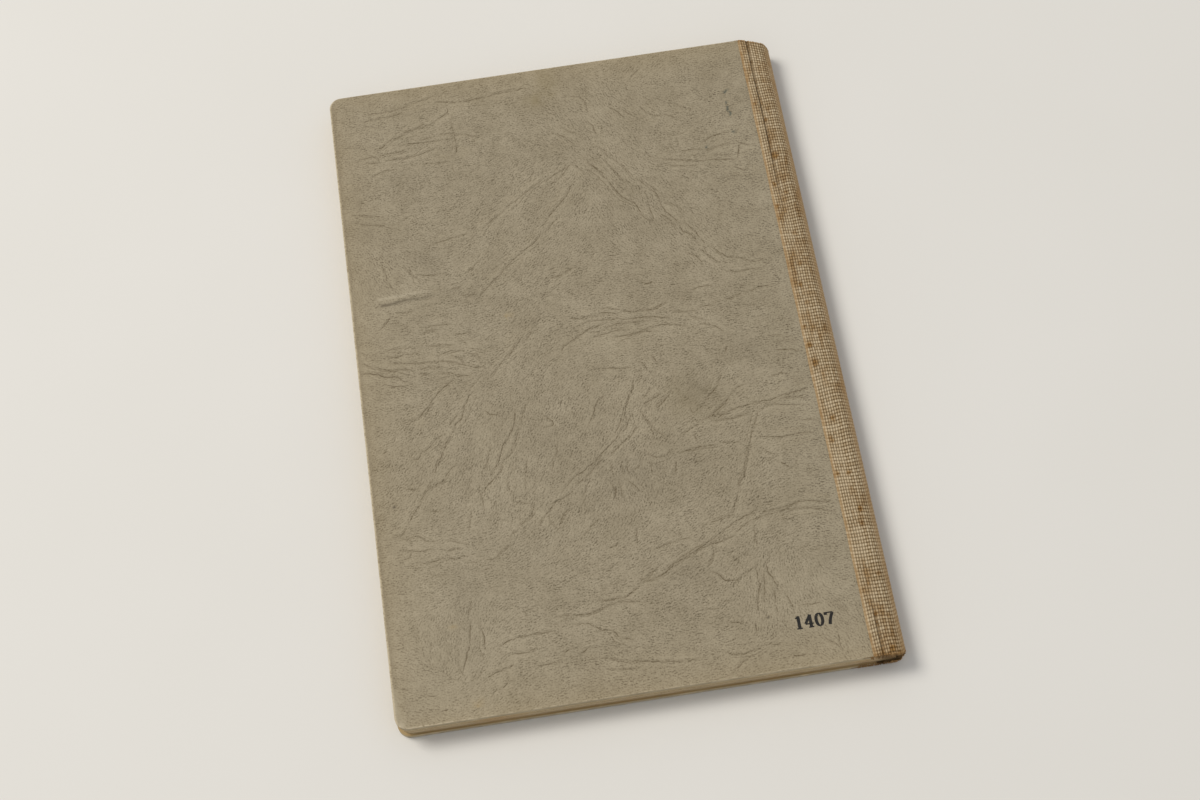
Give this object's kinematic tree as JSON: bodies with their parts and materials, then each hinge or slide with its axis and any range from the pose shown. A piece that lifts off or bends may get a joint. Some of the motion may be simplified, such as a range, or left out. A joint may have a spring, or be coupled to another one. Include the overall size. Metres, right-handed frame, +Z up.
{
  "type": "book",
  "caption": "Thin quarter-bound pocket book with leatherette sides and a linen spine, lying on its front cover; both covers hinge open about the round spine.",
  "frame": {"origin": "middle of the book's base, on the outer face of the front cover", "axes": "+X from the fore edge to the spine, +Y from the tail to the head, +Z up through the back cover"},
  "size_m": [0.1, 0.148, 0.006],
  "materials": {
    "leatherette": "grey-green embossed grain, matt, worn pale at the edges",
    "linen": "tan plain weave, stained brown",
    "card": "raw grey-buff card edge",
    "leaves": "toned page edges with fine streaks",
    "endpaper": "plain toned paper",
    "staple_wire": "rusted wire"
  },
  "bodies": {
    "text_block": {"page_block": "leaves", "head_staple": "staple_wire", "tail_staple": "staple_wire", "spine_cloth": "linen"},
    "back_cover": {"back_board": "card", "back_side_paper": "leatherette", "back_pastedown": "endpaper", "back_cover_cloth": "linen"},
    "front_cover": {"front_board": "card", "front_side_paper": "leatherette", "front_pastedown": "endpaper", "front_cover_cloth": "linen"}
  },
  "joints": [
    {"name": "back_cover_hinge", "type": "hinge", "parent": "text_block", "child": "back_cover", "pos_m": [0.04722, 0, 0.003], "axis": [0, 1, 0], "range_deg": [0, 179.5]},
    {"name": "front_cover_hinge", "type": "hinge", "parent": "text_block", "child": "front_cover", "pos_m": [0.04722, 0, 0.003], "axis": [0, -1, 0], "range_deg": [0, 179.5]}
  ]
}
